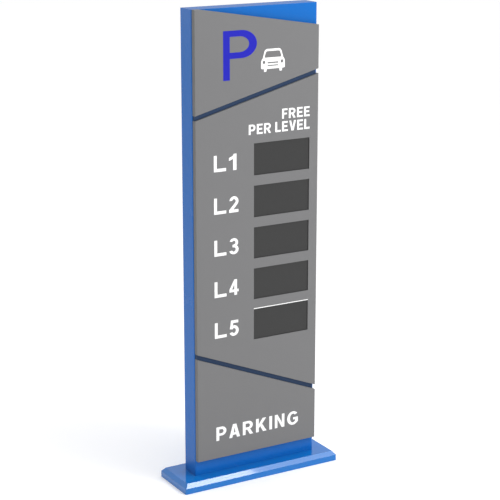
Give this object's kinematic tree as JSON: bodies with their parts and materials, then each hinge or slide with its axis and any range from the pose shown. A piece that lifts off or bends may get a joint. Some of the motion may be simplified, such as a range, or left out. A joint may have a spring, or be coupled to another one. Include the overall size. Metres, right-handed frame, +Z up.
{
  "type": "parking guidance display totem",
  "caption": "Free-standing parking guidance totem: slim blue cabinet on a chamfered plinth, grey front panels with display windows, and a hinged rear service door.",
  "frame": {"origin": "on the ground under the middle of the plinth", "axes": "+Z up, the display front faces -Y, +X to the right of someone reading the front"},
  "size_m": [0.77, 0.236, 2.06],
  "materials": {
    "cabinet_blue": "gloss",
    "plinth_blue": "high gloss",
    "panel_grey": "satin",
    "galvanised_steel": "satin",
    "zinc_fixings": "satin",
    "hinge_steel": "satin",
    "black_foam": "matt",
    "black_rubber": "matt",
    "black_cable": "satin",
    "duct_grey": "matt",
    "supply_case": "satin",
    "device_grey": "satin",
    "black_plastic": "satin",
    "button_yellow": "satin",
    "terminal_beige": "matt",
    "board_green": "satin",
    "gland_grey": "matt",
    "brass_stud": "satin",
    "lock_chrome": "polished",
    "guard_wire": "satin",
    "filter_foam": "matt",
    "smoked_pane": "gloss",
    "digit_black": "matt"
  },
  "bodies": {
    "cabinet": {"base_plate": "galvanised_steel", "bottom_panel": "panel_grey", "breaker_body": "device_grey", "cabinet_shell": "cabinet_blue", "cable_gland": "gland_grey", "controller_board": "board_green", "digit_block_1": "digit_black", "digit_block_2": "digit_black", "digit_block_3": "digit_black", "digit_block_4": "digit_black", "digit_block_5": "digit_black", "din_rail": "galvanised_steel", "display_board_1": "board_green", "display_board_2": "board_green", "display_board_3": "board_green", "display_board_4": "board_green", "display_board_5": "board_green", "display_leads": "black_cable", "display_standoffs": "zinc_fixings", "door_gasket": "black_rubber", "door_surround": "cabinet_blue", "earth_stud": "brass_stud", "equipment_plate": "galvanised_steel", "equipment_standoffs": "zinc_fixings", "foot_gussets": "galvanised_steel", "frame_crossbars": "galvanised_steel", "gland_plate": "galvanised_steel", "hinge_frame_leaves": "hinge_steel", "hinge_pins": "hinge_steel", "middle_panel": "panel_grey", "panel_nuts": "zinc_fixings", "panel_spacers": "zinc_fixings", "panel_studs": "zinc_fixings", "plinth_cover": "plinth_blue", "power_supply": "supply_case", "shell_bolts": "zinc_fixings", "surge_arrester": "device_grey", "terminal_blocks": "terminal_beige", "top_panel": "panel_grey", "uprights": "galvanised_steel", "window_pane_1": "smoked_pane", "window_pane_2": "smoked_pane", "window_pane_3": "smoked_pane", "window_pane_4": "smoked_pane", "window_pane_5": "smoked_pane", "window_seals": "black_foam", "wiring_duct": "duct_grey"},
    "upper_lock": {"upper_lock_barrel": "lock_chrome"},
    "lower_lock": {"lower_lock_barrel": "lock_chrome"},
    "fan": {"fan_rotor": "black_plastic"},
    "toggle": {"breaker_toggle": "black_plastic"},
    "test_button": {"test_button": "button_yellow"},
    "door": {"rear_door": "cabinet_blue", "door_stiffener": "galvanised_steel", "hinge_door_leaves": "hinge_steel", "lock_housings": "lock_chrome", "fan_frame": "black_plastic", "fan_guard": "guard_wire", "filter_frame": "black_plastic", "filter_pad": "filter_foam"}
  },
  "joints": [
    {"name": "door_swing", "type": "hinge", "parent": "cabinet", "child": "door", "pos_m": [0.2765, 0.052, 1.0515], "axis": [0, 0, -1], "range_deg": [0, 120]},
    {"name": "upper_lock_turn", "type": "hinge", "parent": "door", "child": "upper_lock", "pos_m": [-0.25, 0.035, 1.5], "axis": [0, -1, 0], "range_deg": [0, 90]},
    {"name": "lower_lock_turn", "type": "hinge", "parent": "door", "child": "lower_lock", "pos_m": [-0.25, 0.035, 0.56], "axis": [0, -1, 0], "range_deg": [0, 90]},
    {"name": "fan_spin", "type": "hinge", "parent": "door", "child": "fan", "pos_m": [0, 0.03, 1.86], "axis": [0, 1, 0], "continuous": true},
    {"name": "breaker_throw", "type": "hinge", "parent": "cabinet", "child": "toggle", "pos_m": [-0.168, 0.0167, 0.47], "axis": [-1, 0, 0], "range_deg": [0, 76]},
    {"name": "test_press", "type": "slide", "parent": "cabinet", "child": "test_button", "axis": [0, -1, 0], "range_m": [0, 0.0015], "stiffness_N_per_m": 600, "springref_m": -0.001}
  ]
}
